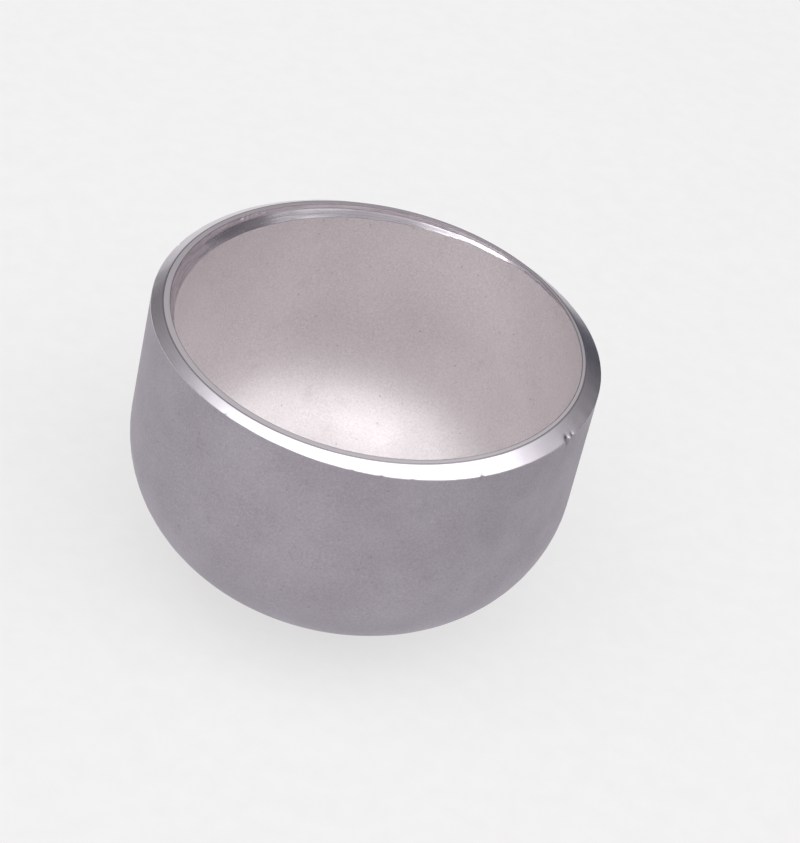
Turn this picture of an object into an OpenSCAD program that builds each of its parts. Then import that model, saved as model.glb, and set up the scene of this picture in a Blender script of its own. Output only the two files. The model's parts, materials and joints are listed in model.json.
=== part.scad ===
// Butt-weld pipe cap: one dished head, pressed from plate, with its open end turned for welding.
// The weld end lies in the plane z = 0, the mouth opens towards +Z and the dome hangs below it.

/* [Body] */
// Outside diameter of the cap and of the pipe that it closes
outside_d = 60.3; // [58:0.1:64]
// Height from the weld end to the flat at the bottom of the dome
overall_h = 40; // [37:0.5:44]
// Wall of the pressed body
body_wall = 3.2; // [3:0.1:4]

/* [Dome] */
// Outside radius of the shallow crown in the middle of the dome
crown_r = 55.15; // [50.15:0.5:64.15]
// Outside radius of the knuckle between the crown and the straight skirt
knuckle_r = 18.15; // [14.15:0.5:20.15]
// Depth by which the press's pad flattens the middle of the dome
pad_flat_depth = 0.15; // [0.05:0.05:0.4]

/* [Weld end] */
// Wall at the turned mouth, the same as the pipe's wall
end_wall = 2.77; // [2.4:0.01:2.9]
// Width of the flat root face at the tip of the bevel
root_face_w = 0.77; // [0.6:0.01:1.4]
// Angle of the welding bevel, from the plane of the weld end
bevel_angle = 37.5; // [32:0.5:42]
// Depth of the straight counterbore just inside the mouth
counterbore_h = 0.8; // [0.5:0.1:2]
// Angle of the taper from the counterbore down to the pressed bore, from the axis
taper_angle = 28; // [20:1:45]

/* [Hidden] */

$fn = 128;
// Cutting shapes reach this far past the metal that they cut
overcut = 5;

outside_r = outside_d / 2;
bore_r = outside_r - body_wall;
mouth_r = outside_r - end_wall;
root_face_r = mouth_r + root_face_w;
bevel_h = (outside_r - root_face_r) * tan(bevel_angle);
taper_h = (mouth_r - bore_r) / tan(taper_angle);

// The crown and knuckle arcs have these centres, for the outside and for the inside of the wall
crown_centre_z = crown_r - overall_h - pad_flat_depth;
knuckle_centre_r = outside_r - knuckle_r;
knuckle_centre_z = crown_centre_z - sqrt(pow(crown_r - knuckle_r, 2) - pow(knuckle_centre_r, 2));
// Angle from the axis at which the crown runs into the knuckle
seam_angle = asin(knuckle_centre_r / (crown_r - knuckle_r));
// The crown's and the knuckle's slices meet on the line from the knuckle's centre to this point
seam_end = [
    knuckle_centre_r + 1.5 * knuckle_r * sin(seam_angle),
    knuckle_centre_z - 1.5 * knuckle_r * cos(seam_angle)
];

// Half section of the filled dished head, smaller by inset on every side, up to the height top_z
module head_section(inset, top_z) {
    // Crown
    intersection() {
        translate([0, crown_centre_z])
            circle(r = crown_r - inset);
        polygon([
            [0, knuckle_centre_z],
            [knuckle_centre_r, knuckle_centre_z],
            seam_end,
            [0, seam_end.y]
        ]);
    }
    // Knuckle
    intersection() {
        translate([knuckle_centre_r, knuckle_centre_z])
            circle(r = knuckle_r - inset);
        polygon([
            [knuckle_centre_r, knuckle_centre_z],
            seam_end,
            [outside_r + overcut, seam_end.y],
            [outside_r + overcut, knuckle_centre_z]
        ]);
    }
    // Skirt
    translate([0, knuckle_centre_z])
        square([outside_r - inset, top_z - knuckle_centre_z]);
}

// Counterbore and taper, turned out of the pressed bore
module mouth_cut() {
    polygon([
        [0, overcut],
        [mouth_r, overcut],
        [mouth_r, -counterbore_h],
        [bore_r - overcut * tan(taper_angle), -counterbore_h - taper_h - overcut],
        [0, -counterbore_h - taper_h - overcut]
    ]);
}

// Metal turned off outside the welding bevel, along a line that runs on past both of its ends
module bevel_cut() {
    polygon([
        [root_face_r - overcut, overcut * tan(bevel_angle)],
        [outside_r + overcut, -bevel_h - overcut * tan(bevel_angle)],
        [outside_r + overcut, overcut * tan(bevel_angle)]
    ]);
}

// The crown's lowest part, which the pad flattens
module pad_cut() {
    translate([0, -overall_h - overcut])
        square([outside_r, overcut]);
}

module cap_shell() {
    color([0.62, 0.60, 0.62])
        rotate_extrude()
            difference() {
                head_section(0, 0);
                head_section(body_wall, overcut);
                mouth_cut();
                bevel_cut();
                pad_cut();
            }
}

cap_shell();
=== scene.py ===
"""The looks of a stainless butt-weld pipe cap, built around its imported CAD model.

The CAD node is the nominal cap. The mesh made here replaces it inside the same box: a pressed and
bead-blasted skin, and a turned weld end that lies a little off centre and has worn, nicked edges.
"""
import json
import math

import bpy
from mathutils import Matrix, Vector, noise


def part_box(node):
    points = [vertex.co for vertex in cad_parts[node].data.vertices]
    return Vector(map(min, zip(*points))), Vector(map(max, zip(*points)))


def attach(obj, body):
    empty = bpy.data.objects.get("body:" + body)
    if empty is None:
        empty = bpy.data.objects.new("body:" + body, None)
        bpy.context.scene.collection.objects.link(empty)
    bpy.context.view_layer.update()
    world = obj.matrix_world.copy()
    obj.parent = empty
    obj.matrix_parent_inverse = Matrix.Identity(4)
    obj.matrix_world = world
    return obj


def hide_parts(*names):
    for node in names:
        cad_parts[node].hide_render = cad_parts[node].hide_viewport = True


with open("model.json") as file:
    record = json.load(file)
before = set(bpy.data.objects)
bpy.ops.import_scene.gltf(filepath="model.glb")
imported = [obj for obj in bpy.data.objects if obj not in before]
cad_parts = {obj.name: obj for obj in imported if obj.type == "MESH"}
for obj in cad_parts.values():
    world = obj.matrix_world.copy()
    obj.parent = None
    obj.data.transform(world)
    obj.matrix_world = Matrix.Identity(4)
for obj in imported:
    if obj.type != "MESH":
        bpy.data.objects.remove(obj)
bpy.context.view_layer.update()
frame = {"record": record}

MM = 0.001
BODY = "root"
NODE = "cap_shell"

# ---------------------------------------------------------------- the cap's sizes, in metres
mounts = {mount["name"]: mount for mount in frame["record"]["mounts"]}
node_low, node_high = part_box(NODE)

BOX_CLEARANCE = 0.02 * MM                      # keeps the skin inside the CAD model's faceted box
SKIN_R = mounts["skirt_outside"]["dims"]["r_mm"] * MM - BOX_CLEARANCE
BORE_R = mounts["skirt_bore"]["dims"]["r_mm"] * MM
MOUTH_R = mounts["weld_bore"]["dims"]["r_mm"] * MM
COUNTERBORE_H = mounts["weld_bore"]["dims"]["length_mm"] * MM
HEIGHT = node_high.z - node_low.z
WALL = SKIN_R - BORE_R
ROOT_FACE_W = 0.77 * MM                        # of the land, the flat tip of the bevel
ROOT_R = MOUTH_R + ROOT_FACE_W
CROWN_R = 55.15 * MM                           # outside, in the middle of the dome
KNUCKLE_R = 18.15 * MM                         # outside, where the crown turns into the skirt
PAD_DEPTH = 0.15 * MM                          # of the flat in the middle of the dome
BEVEL_ANGLE = math.radians(37.5)               # from the plane of the weld end
TAPER_ANGLE = math.radians(28.0)               # from the axis
BEVEL_SLOPE = math.tan(BEVEL_ANGLE)
TAPER_SLOPE = math.tan(TAPER_ANGLE)

CROWN_Z = CROWN_R - HEIGHT - PAD_DEPTH
PAD_EDGE = math.acos((CROWN_R - PAD_DEPTH) / CROWN_R)
KNUCKLE_CENTRE_R = SKIN_R - KNUCKLE_R
KNUCKLE_Z = CROWN_Z - math.sqrt((CROWN_R - KNUCKLE_R) ** 2 - KNUCKLE_CENTRE_R ** 2)
SEAM_ANGLE = math.asin(KNUCKLE_CENTRE_R / (CROWN_R - KNUCKLE_R))

# ---------------------------------------------------------------- how this cap differs from nominal
TURNING_OFFSET = Vector((-0.19, -0.50)) * MM   # centre of the turned mouth
LAND_OFFSET = Vector((-0.38, -0.56)) * MM      # centre of the ring where the land meets the bevel
BORE_OFFSET = Vector((0.24, -0.50)) * MM       # centre of the pressed bore at the mouth
ROOT_ROLL = 0.10 * MM                          # how far the land falls away towards the bevel
FOOT_LOBES = 3                                 # rises of the bevel's foot round the rim
FOOT_SWING = 0.20 * MM                         # how far it rises and falls
FOOT_ANGLE = math.radians(-122.0)              # where one of the rises lies

WAVINESS = 0.05 * MM                           # slow unevenness of the pressed skin
EDGE_WANDER = 0.035 * MM                       # how far the turned edges stray from a true ring
FOOT_WEAR = 0.5                                # share of its wander by which the outer edge is worn in
EDGE_BREAK = 0.06 * MM                         # how far the turned edges are rounded
LAND_EDGE_BREAK = 0.11 * MM                    # and the two edges of the land, which are rolled over
BURR_HEIGHT = 0.18 * MM                        # how far the burrs stand in from the mouth's edge
BURR_FROM = math.radians(128.0)
BURR_TO = math.radians(152.0)

FULL_STEP = 0.35 * MM                          # a wall this thick to cut away gets the full counterbore
THIN_STEP = 0.03 * MM                          # the least that the cutter takes anywhere
SKIN_COLLAR = 2.4 * MM                         # how far below the weld end the nicks reach outside
BEVEL_COLLAR = 0.7 * MM                        # how far up the bevel they reach
BORE_COLLAR = 1.2 * MM                         # and how far below the taper its ragged foot reaches

# Kinds of unevenness: how long their features are, and a seed that sets each apart from the others.
SKIN_WAVES = (23 * MM, 4.2)
EDGE_WAVES = (2.2 * MM, 1.1)
TAPER_RAGS = (4 * MM, 9.3)
FINE_RAGS = (0.9 * MM, 2.9)
FINE_RAGS_SHARE = 0.5
BURR_TEETH = (0.5 * MM, 7.7)

# Knocks in the bevel's outer edge: angle from +X in degrees, half width and depth in mm.
NICKS = (
    (-26.0, 0.32, 0.45), (-23.5, 0.22, 0.20), (-55.0, 0.22, 0.14), (-73.0, 0.25, 0.12),
    (-80.5, 0.25, 0.15), (-87.5, 0.35, 0.12), (-122.0, 0.22, 0.08), (41.0, 0.25, 0.18),
    (97.0, 0.30, 0.12), (163.0, 0.22, 0.16),
)

# ---------------------------------------------------------------- how the mesh is laid out
COLUMNS = 950                                  # sections round the axis
CORNER_STEPS = 4                               # steps round a broken edge
LINE_EASE = 0.6                                # 0 spaces a line's points evenly, 1 crowds them at its ends
HALF_WAY = 0.45                                # just short of half of a stretch
ZONES = ("outside", "bevel", "edge", "root", "taper", "inside")   # each has its own material


# ---------------------------------------------------------------- shape
def ripple(angle, size, seed):
    """Unevenness round the rim, between -1 and 1, with features about size long."""
    reach = SKIN_R / size
    return noise.noise(Vector((math.cos(angle) * reach, math.sin(angle) * reach, seed)))


def nick(angle):
    """How deep the outer edge is knocked in at this angle."""
    depth = 0.0
    for degrees, half_width, deepest in NICKS:
        gap = math.remainder(angle - math.radians(degrees), math.tau) * SKIN_R / MM
        depth += deepest * MM * math.exp(-(gap / half_width) ** 2)
    return depth


def burr(angle):
    """How far the burrs left by the cutter stand in from the mouth's edge at this angle."""
    along = (angle - BURR_FROM) / (BURR_TO - BURR_FROM)
    if not 0.0 < along < 1.0:
        return 0.0
    return BURR_HEIGHT * math.sin(math.pi * along) * max(0.0, ripple(angle, *BURR_TEETH))


def circle_reach(radius, offset, angle):
    """Distance from the axis, along angle, to a circle whose centre is at offset."""
    along = offset.x * math.cos(angle) + offset.y * math.sin(angle)
    across = offset.y * math.cos(angle) - offset.x * math.sin(angle)
    return along + math.sqrt(radius ** 2 - across ** 2)


def arc(centre_r, centre_z, radius, start, end, count):
    """count + 1 points (r, z) on an arc, with angles measured from straight down."""
    points = []
    for i in range(count + 1):
        angle = start + (end - start) * i / count
        points.append((centre_r + radius * math.sin(angle), centre_z - radius * math.cos(angle)))
    return points


def between(start, end, t):
    """The point (r, z) at the share t of the way from start to end."""
    return (start[0] + (end[0] - start[0]) * t, start[1] + (end[1] - start[1]) * t)


def line(start, end, count):
    """count + 1 points from start to end, closer together towards the ends."""
    points = []
    for i in range(count + 1):
        t = i / count
        smooth = t * t * (3 - 2 * t)
        points.append(between(start, end, (1 - LINE_EASE) * t + LINE_EASE * smooth))
    return points


def towards(start, end, distance):
    """The point that lies distance from start on the way to end, or just short of half way."""
    return between(start, end, min(distance / math.dist(start, end), HALF_WAY))


def corner(before, at, after, size=EDGE_BREAK):
    """CORNER_STEPS + 1 points that round the corner at, between the points before and after it."""
    a = towards(at, before, size)
    b = towards(at, after, size)
    points = []
    for i in range(CORNER_STEPS + 1):
        t = i / CORNER_STEPS
        points.append(between(between(a, at, t), between(at, b, t), t))
    return points


def rim_points(angle):
    """The corners of the weld end's section at one angle, from the skin round to the bore."""
    skin_r = SKIN_R - WAVINESS * (1 + ripple(angle, *SKIN_WAVES)) / 2
    root_r = circle_reach(ROOT_R, LAND_OFFSET, angle)
    mouth_r = circle_reach(MOUTH_R, TURNING_OFFSET, angle)
    bore_r = circle_reach(BORE_R, BORE_OFFSET, angle)
    root_tip = (root_r, -ROOT_ROLL)

    wander = EDGE_WANDER * ripple(angle, *EDGE_WAVES)
    foot_rise = wander + FOOT_SWING * math.cos(FOOT_LOBES * (angle - FOOT_ANGLE))
    foot = (skin_r, -(skin_r - root_r) * BEVEL_SLOPE + foot_rise)
    knocked_in = nick(angle) + FOOT_WEAR * abs(wander)

    ragged = EDGE_WANDER * (ripple(angle, *TAPER_RAGS) + FINE_RAGS_SHARE * ripple(angle, *FINE_RAGS))
    step = max(THIN_STEP, mouth_r - bore_r - ragged)
    counterbore_z = -COUNTERBORE_H * min(1.0, step / FULL_STEP)
    taper_foot_z = counterbore_z - step / TAPER_SLOPE
    return {
        "skin": (skin_r, -SKIN_COLLAR),
        "bevel_foot": (foot[0] - knocked_in, foot[1]),
        "bevel": towards(foot, root_tip, BEVEL_COLLAR),
        "root_tip": root_tip,
        "mouth_tip": (mouth_r - burr(angle), 0.0),
        "taper_top": (mouth_r, counterbore_z),
        "taper_foot": (mouth_r - step, taper_foot_z),
        "bore": (min(bore_r, mouth_r - THIN_STEP), taper_foot_z - BORE_COLLAR),
    }


def column(angle):
    """The wall's section at one angle: (r, z, zone) from under the dome round to its inside."""
    rim = rim_points(angle)
    foot = corner(rim["skin"], rim["bevel_foot"], rim["bevel"])
    tip = corner(rim["bevel"], rim["root_tip"], rim["mouth_tip"], LAND_EDGE_BREAK)
    lip = corner(rim["root_tip"], rim["mouth_tip"], rim["taper_top"], LAND_EDGE_BREAK)
    shoulder = corner(rim["mouth_tip"], rim["taper_top"], rim["taper_foot"])
    heel = corner(rim["taper_top"], rim["taper_foot"], rim["bore"])
    stretches = (
        ("outside", arc(0.0, CROWN_Z, CROWN_R, 0.0, PAD_EDGE, 1)),
        ("outside", arc(0.0, CROWN_Z, CROWN_R, PAD_EDGE, SEAM_ANGLE, 8)),
        ("outside", arc(KNUCKLE_CENTRE_R, KNUCKLE_Z, KNUCKLE_R, SEAM_ANGLE, math.pi / 2, 16)),
        ("outside", line((SKIN_R, KNUCKLE_Z), rim["skin"], 8)),
        ("outside", line(rim["skin"], foot[0], 4)),
        ("bevel", foot),
        ("bevel", line(foot[-1], rim["bevel"], 3)),
        ("bevel", line(rim["bevel"], tip[0], 3)),
        ("edge", tip),
        ("root", line(tip[-1], lip[0], 3)),
        ("edge", lip),
        ("taper", line(lip[-1], shoulder[0], 3)),
        ("taper", shoulder),
        ("taper", line(shoulder[-1], heel[0], 3)),
        ("taper", heel),
        ("inside", line(heel[-1], rim["bore"], 3)),
        ("inside", line(rim["bore"], (BORE_R, KNUCKLE_Z), 6)),
        ("inside", arc(KNUCKLE_CENTRE_R, KNUCKLE_Z, KNUCKLE_R - WALL, math.pi / 2, SEAM_ANGLE, 13)),
        ("inside", arc(0.0, CROWN_Z, CROWN_R - WALL, SEAM_ANGLE, 0.0, 8)[:-1]),
    )
    rows = []
    for zone, points in stretches:
        # A stretch's first point is the last one of the stretch before it. The very first is left out
        # too: it is on the axis, where build_cap adds one vertex for all columns.
        rows.extend((r, z, zone) for r, z in points[1:])
    return rows


def mesh_object(name, vertices, faces):
    """A new object in the scene, with a mesh of the same name."""
    mesh = bpy.data.meshes.new(name)
    mesh.from_pydata(vertices, [], faces)
    made = bpy.data.objects.new(name, mesh)
    bpy.context.scene.collection.objects.link(made)
    return made


def build_cap():
    """The whole cap as one closed mesh, each face numbered for the material slot of its zone of the
    surface.
    """
    angles = [math.tau * j / COLUMNS for j in range(COLUMNS)]
    columns = [column(angle) for angle in angles]
    rows = len(columns[0])
    vertices = []
    for angle, points in zip(angles, columns):
        vertices.extend((r * math.cos(angle), r * math.sin(angle), z) for r, z, zone in points)
    under = len(vertices)
    within = under + 1
    vertices.append((0.0, 0.0, -HEIGHT))
    vertices.append((0.0, 0.0, CROWN_Z - (CROWN_R - WALL)))
    faces = []
    zones = []
    for j in range(COLUMNS):
        here = j * rows
        there = (j + 1) % COLUMNS * rows
        faces.append((under, there, here))
        zones.append("outside")
        for i in range(rows - 1):
            faces.append((here + i, there + i, there + i + 1, here + i + 1))
            zones.append(columns[j][i + 1][2])
        faces.append((within, here + rows - 1, there + rows - 1))
        zones.append("inside")
    piece = mesh_object("cap_skin", vertices, faces)
    for polygon, zone in zip(piece.data.polygons, zones):
        polygon.material_index = ZONES.index(zone)
        polygon.use_smooth = True
    piece.data.update()
    return piece


# ---------------------------------------------------------------- materials
NOISE_MIDDLE = 0.5                             # noise textures vary about this value
MIX_A, MIX_B, MIXED = 6, 7, 2                  # the Mix node's two colour inputs and its colour output


class Shader:
    """A short way to write one node material."""

    def __init__(self, name):
        self.material = bpy.data.materials.new(name)
        self.material.use_nodes = True
        self.tree = self.material.node_tree
        self.bsdf = self.tree.nodes["Principled BSDF"]
        self.place = self.node("ShaderNodeTexCoord").outputs["Object"]

    def node(self, kind, **settings):
        made = self.tree.nodes.new(kind)
        for name, value in settings.items():
            setattr(made, name, value)
        return made

    def link(self, source, target):
        self.tree.links.new(source, target)

    def noise(self, size, detail=2.0, roughness=0.5, place=None):
        """Noise whose features are about size metres across."""
        made = self.node("ShaderNodeTexNoise")
        made.inputs["Scale"].default_value = 1.0 / size
        made.inputs["Detail"].default_value = detail
        made.inputs["Roughness"].default_value = roughness
        self.link(place or self.place, made.inputs["Vector"])
        return made.outputs["Fac"]

    def math(self, operation, a, b=0.0):
        made = self.node("ShaderNodeMath", operation=operation)
        for socket, value in zip(made.inputs, (a, b)):
            if isinstance(value, (int, float)):
                socket.default_value = value
            else:
                self.link(value, socket)
        return made.outputs[0]

    def spread(self, value, low, high, to_low=0.0, to_high=1.0):
        """value carried from low..high to to_low..to_high, and held at the ends."""
        made = self.node("ShaderNodeMapRange")
        self.link(value, made.inputs["Value"])
        limits = {"From Min": low, "From Max": high, "To Min": to_low, "To Max": to_high}
        for name, number in limits.items():
            made.inputs[name].default_value = number
        return made.outputs["Result"]

    def contrast(self, value, half, to_low=0.0, to_high=1.0):
        """Noise within half of its middle value, carried to to_low..to_high."""
        return self.spread(value, NOISE_MIDDLE - half, NOISE_MIDDLE + half, to_low, to_high)

    def mix(self, factor, a, b):
        """Colour a where factor is 0 and colour b where it is 1."""
        made = self.node("ShaderNodeMix", data_type="RGBA")
        self.link(factor, made.inputs["Factor"])
        for socket, value in ((made.inputs[MIX_A], a), (made.inputs[MIX_B], b)):
            if isinstance(value, tuple):
                socket.default_value = (*value, 1.0)
            else:
                self.link(value, socket)
        return made.outputs[MIXED]

    def bump(self, height, distance, strength, onto=None):
        made = self.node("ShaderNodeBump")
        made.inputs["Distance"].default_value = distance
        made.inputs["Strength"].default_value = strength
        self.link(height, made.inputs["Height"])
        if onto:
            self.link(onto, made.inputs["Normal"])
        return made.outputs["Normal"]

    def turning(self):
        """Radius, angle and height about the axis that the weld end was turned on."""
        shift = self.node("ShaderNodeVectorMath", operation="SUBTRACT")
        self.link(self.place, shift.inputs[0])
        shift.inputs[1].default_value = (*TURNING_OFFSET, 0.0)
        split = self.node("ShaderNodeSeparateXYZ")
        self.link(shift.outputs[0], split.inputs[0])
        x, y, z = split.outputs
        squares = self.math("ADD", self.math("MULTIPLY", x, x), self.math("MULTIPLY", y, y))
        return self.math("SQRT", squares), self.math("ARCTAN2", y, x), z

    def metal(self, colour, roughness, normal):
        self.link(colour, self.bsdf.inputs["Base Color"])
        self.bsdf.inputs["Metallic"].default_value = 1.0
        self.link(roughness, self.bsdf.inputs["Roughness"])
        self.link(normal, self.bsdf.inputs["Normal"])
        return self.material


def shaded(colour, factor):
    """The colour made lighter or darker."""
    return tuple(min(1.0, channel * factor) for channel in colour)


def blasted(name, light, dark, roughness):
    """Bead-blasted stainless: a fine even grain, faint clouds and stains, and a few small dark specks."""
    cloud_size = 11 * MM
    stain_size = 5 * MM
    patch_size = 3 * MM
    dent_size = 2.6 * MM
    speck_spacing = 2.3 * MM
    grain_size = 0.30 * MM
    grain_dark = shaded(dark, 0.84)
    grain_light = shaded(light, 1.10)
    stain_dark = shaded(dark, 0.62)
    speck_dark = shaded(dark, 0.4)
    uneven = 0.03

    s = Shader(name)
    clouds = s.contrast(s.noise(cloud_size, detail=3.0, roughness=0.55), half=0.15)
    grain = s.noise(grain_size, detail=3.0, roughness=0.65)
    even = s.mix(clouds, dark, light)
    grainy = s.mix(s.contrast(grain, half=0.18), grain_dark, grain_light)
    skin = s.mix(s.contrast(s.noise(patch_size), half=0.2, to_low=0.35, to_high=0.6), even, grainy)
    stains = s.noise(stain_size, detail=4.0, roughness=0.7)
    stained = s.mix(s.spread(stains, low=0.62, high=0.74, to_high=0.22), skin, stain_dark)
    specks = s.node("ShaderNodeTexVoronoi")
    specks.inputs["Scale"].default_value = 1 / speck_spacing
    s.link(s.place, specks.inputs["Vector"])
    speck = s.spread(specks.outputs["Distance"], low=0.03, high=0.09, to_low=0.4, to_high=0.0)
    colour = s.mix(speck, stained, speck_dark)
    fine = s.bump(grain, distance=0.03 * MM, strength=0.5)
    dents = s.bump(s.noise(dent_size), distance=0.05 * MM, strength=0.22, onto=fine)
    rough = s.spread(clouds, low=0.0, high=1.0, to_low=roughness + uneven, to_high=roughness - uneven)
    return s.metal(colour, rough, dents)


def turned(name, light, dark, roughness, pitch, marked):
    """Steel off the lathe: fine rings round the turning axis, and tool marks that run along them."""
    marks_per_radian = 4.0
    mark_width = 0.22 * MM
    ring_share = 0.4

    s = Shader(name)
    radius, angle, height = s.turning()
    run = s.math("SUBTRACT", radius, height)
    rings = s.node("ShaderNodeTexNoise", noise_dimensions="1D")
    s.link(s.math("MULTIPLY", run, 1.0 / pitch), rings.inputs["W"])
    rings.inputs["Scale"].default_value = 1.0
    place = s.node("ShaderNodeCombineXYZ")
    s.link(s.math("MULTIPLY", angle, marks_per_radian), place.inputs["X"])
    s.link(s.math("MULTIPLY", run, 1.0 / mark_width), place.inputs["Y"])
    marks = s.noise(1.0, detail=3.0, roughness=0.6, place=place.outputs[0])
    ring_tone = s.math("MULTIPLY", rings.outputs["Fac"], ring_share)
    tone = s.math("ADD", ring_tone, s.math("MULTIPLY", marks, 1.0 - ring_share))
    colour = s.mix(s.contrast(tone, half=0.15 / marked), dark, light)
    uneven = 0.05 * marked
    rough = s.contrast(marks, half=0.2, to_low=roughness + uneven, to_high=roughness - uneven)
    return s.metal(colour, rough, s.bump(rings.outputs["Fac"], distance=0.008 * MM, strength=0.3 * marked))


def dress(piece):
    """One material for each zone, in the order of ZONES."""
    for material in (
        # Outer skin: the same blasted steel as the inside, in its own mauve-grey tone but painted about
        # half as light, which is painted shade.
        blasted("blasted_outside_painted_shade", light=(0.445, 0.415, 0.46), dark=(0.385, 0.355, 0.40), roughness=0.60),
        turned("turned_bevel", light=(0.80, 0.77, 0.81), dark=(0.70, 0.67, 0.72), roughness=0.29,
               pitch=0.12 * MM, marked=0.5),
        # The land's two rounded edges: the same turned steel as the root face, painted dark, which is
        # painted shade for the thin dark lines along them.
        turned("land_edges_painted_shade", light=(0.42, 0.39, 0.42), dark=(0.30, 0.28, 0.31), roughness=0.40,
               pitch=0.10 * MM, marked=0.8),
        turned("turned_root_face", light=(0.91, 0.88, 0.90), dark=(0.76, 0.73, 0.76), roughness=0.43,
               pitch=0.10 * MM, marked=0.8),
        turned("turned_taper", light=(0.86, 0.82, 0.86), dark=(0.55, 0.52, 0.56), roughness=0.24,
               pitch=0.14 * MM, marked=1.3),
        # Inside: the same blasted steel as the outer skin, in its own warm grey tone but painted about
        # twice as light, which is painted light.
        blasted("blasted_inside_painted_light", light=(0.85, 0.815, 0.825), dark=(0.795, 0.76, 0.77), roughness=0.59),
    ):
        piece.data.materials.append(material)


# ---------------------------------------------------------------- stage
def area_light(name, place, aim, size, power):
    """A rectangular lamp that the camera doesn't see."""
    data = bpy.data.lights.new(name, "AREA")
    data.shape = "RECTANGLE"
    data.size, data.size_y = size
    data.energy = power
    lamp = bpy.data.objects.new(name, data)
    lamp.location = place
    lamp.rotation_euler = (Vector(aim) - Vector(place)).to_track_quat("-Z", "Y").to_euler()
    lamp.visible_camera = False
    bpy.context.scene.collection.objects.link(lamp)


def build_lamps():
    """A softbox overhead, a low bright window at the front left and a weaker one at the front right."""
    cap_mouth = (0.0, 0.0, 0.0)
    area_light("overhead", place=(0.53, -0.8, 2.0), aim=(0.53, -0.8, 0.0), size=(4.3, 2.4), power=41.0)
    area_light("window", place=(-1.26, -1.61, 0.51), aim=cap_mouth, size=(2.0, 0.45), power=6.0)
    area_light("doorway", place=(1.57, -1.32, 0.47), aim=cap_mouth, size=(1.7, 0.45), power=1.3)


def build_floor():
    """Pale paper that glows a little, so that the cap's shadow stays faint."""
    half = 1.4
    z = node_low.z
    corners = [(-half, -half, z), (half, -half, z), (half, half, z), (-half, half, z)]
    floor = mesh_object("floor", corners, [(0, 1, 2, 3)])
    s = Shader("floor_paper")
    fibres = s.contrast(s.noise(3 * MM, detail=3.0), half=0.2)
    s.link(s.mix(fibres, (0.24, 0.238, 0.238), (0.26, 0.258, 0.258)), s.bsdf.inputs["Base Color"])
    s.bsdf.inputs["Roughness"].default_value = 0.9
    s.bsdf.inputs["Emission Color"].default_value = (1.0, 0.995, 0.995, 1.0)
    s.bsdf.inputs["Emission Strength"].default_value = 0.63
    floor.data.materials.append(s.material)


def build_dark_card():
    """A low dark screen round the cap's right and back, which only reflections see."""
    reach = 0.17
    top = 0.024
    start = math.radians(-40.0)
    end = math.radians(80.0)
    bays = 24
    vertices = []
    for i in range(bays + 1):
        angle = start + (end - start) * i / bays
        for z in (node_low.z, top):
            vertices.append((reach * math.cos(angle), reach * math.sin(angle), z))
    faces = [(2 * i, 2 * i + 1, 2 * i + 3, 2 * i + 2) for i in range(bays)]
    card = mesh_object("dark_card", vertices, faces)
    s = Shader("dark_card")
    felt = s.noise(2 * MM)
    s.link(s.mix(felt, (0.03, 0.032, 0.05), (0.05, 0.052, 0.075)), s.bsdf.inputs["Base Color"])
    s.bsdf.inputs["Roughness"].default_value = 1.0
    card.data.materials.append(s.material)
    card.visible_camera = False
    card.visible_diffuse = False
    card.visible_shadow = False


def build_camera():
    """Looks from the front, tilted so that the cap's axis leans to the right."""
    elevation = math.radians(37.36)
    roll = math.radians(13.57)
    distance = 0.4024
    aim = Vector((5.57, 0.0, -15.0)) * MM
    back = Vector((0.0, -math.cos(elevation), math.sin(elevation)))
    data = bpy.data.cameras.new("camera")
    data.lens = 128.1
    data.clip_start = 0.01
    camera = bpy.data.objects.new("camera", data)
    level = back.to_track_quat("Z", "Y")
    camera.rotation_euler = (level.to_matrix() @ Matrix.Rotation(roll, 3, "Z")).to_euler()
    camera.location = aim + back * distance
    bpy.context.scene.collection.objects.link(camera)
    bpy.context.scene.camera = camera


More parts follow.
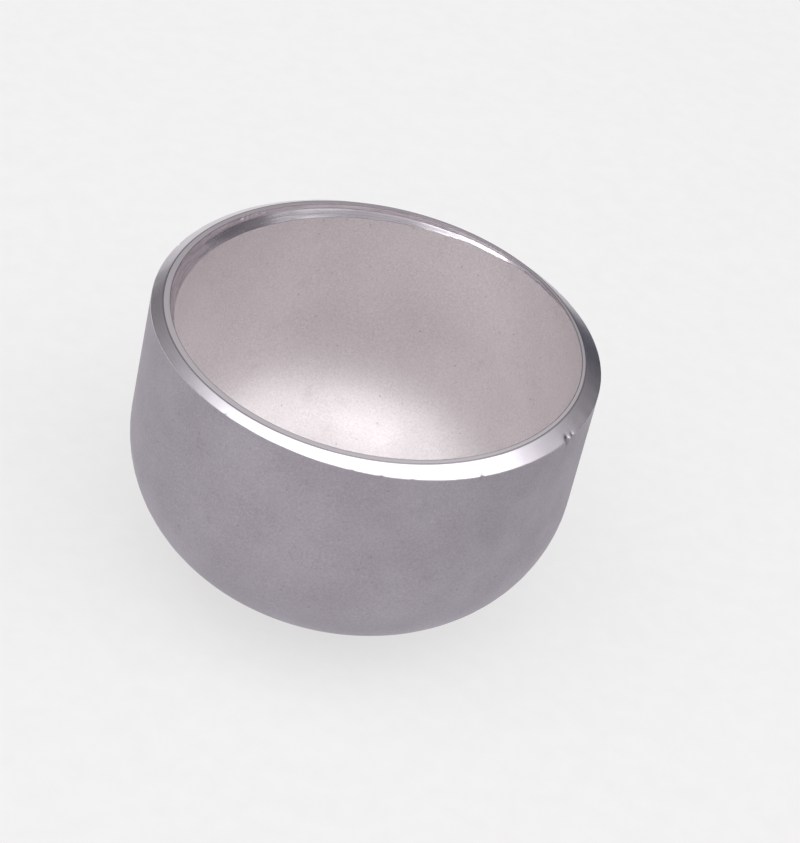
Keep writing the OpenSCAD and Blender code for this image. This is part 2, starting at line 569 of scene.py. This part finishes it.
def build_world():
    """A dim room, lighter overhead, at the front left and high on the right. The camera sees pale paper."""
    world = bpy.data.worlds.new("studio")
    world.use_nodes = True
    bpy.context.scene.world = world
    tree = world.node_tree
    direction = tree.nodes.new("ShaderNodeTexCoord").outputs["Generated"]

    def facing(vector, start, low, high):
        """low, rising to high along vector from where the cosine of the angle to it is start."""
        dot = tree.nodes.new("ShaderNodeVectorMath")
        dot.operation = "DOT_PRODUCT"
        tree.links.new(direction, dot.inputs[0])
        dot.inputs[1].default_value = Vector(vector).normalized()
        ramp = tree.nodes.new("ShaderNodeMapRange")
        ramp.inputs["From Min"].default_value = start
        ramp.inputs["To Min"].default_value = low
        ramp.inputs["To Max"].default_value = high
        tree.links.new(dot.outputs["Value"], ramp.inputs["Value"])
        return ramp.outputs["Result"]

    overhead = facing((0.0, 0.0, 1.0), start=0.0, low=0.09, high=0.57)
    front_left = facing((-0.35, -0.94, 0.0), start=0.0, low=0.0, high=0.36)
    high_right = facing((0.70, 0.10, 0.70), start=0.85, low=0.0, high=0.5)
    total = overhead
    for glow in (front_left, high_right):
        add = tree.nodes.new("ShaderNodeMath")
        add.operation = "ADD"
        tree.links.new(total, add.inputs[0])
        tree.links.new(glow, add.inputs[1])
        total = add.outputs[0]
    walls = tree.nodes.new("ShaderNodeBackground")
    walls.inputs["Color"].default_value = (1.0, 0.965, 1.0, 1.0)
    tree.links.new(total, walls.inputs["Strength"])
    seen = tree.nodes["Background"]
    seen.inputs["Color"].default_value = (0.86, 0.855, 0.855, 1.0)
    ray = tree.nodes.new("ShaderNodeLightPath")
    pick = tree.nodes.new("ShaderNodeMixShader")
    tree.links.new(ray.outputs["Is Camera Ray"], pick.inputs[0])
    tree.links.new(walls.outputs[0], pick.inputs[1])
    tree.links.new(seen.outputs[0], pick.inputs[2])
    tree.links.new(pick.outputs[0], tree.nodes["World Output"].inputs["Surface"])


cap = build_cap()
dress(cap)
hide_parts(NODE)
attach(cap, BODY)
build_floor()
build_dark_card()
build_world()
build_camera()
build_lamps()
bpy.context.scene.view_settings.view_transform = "Standard"
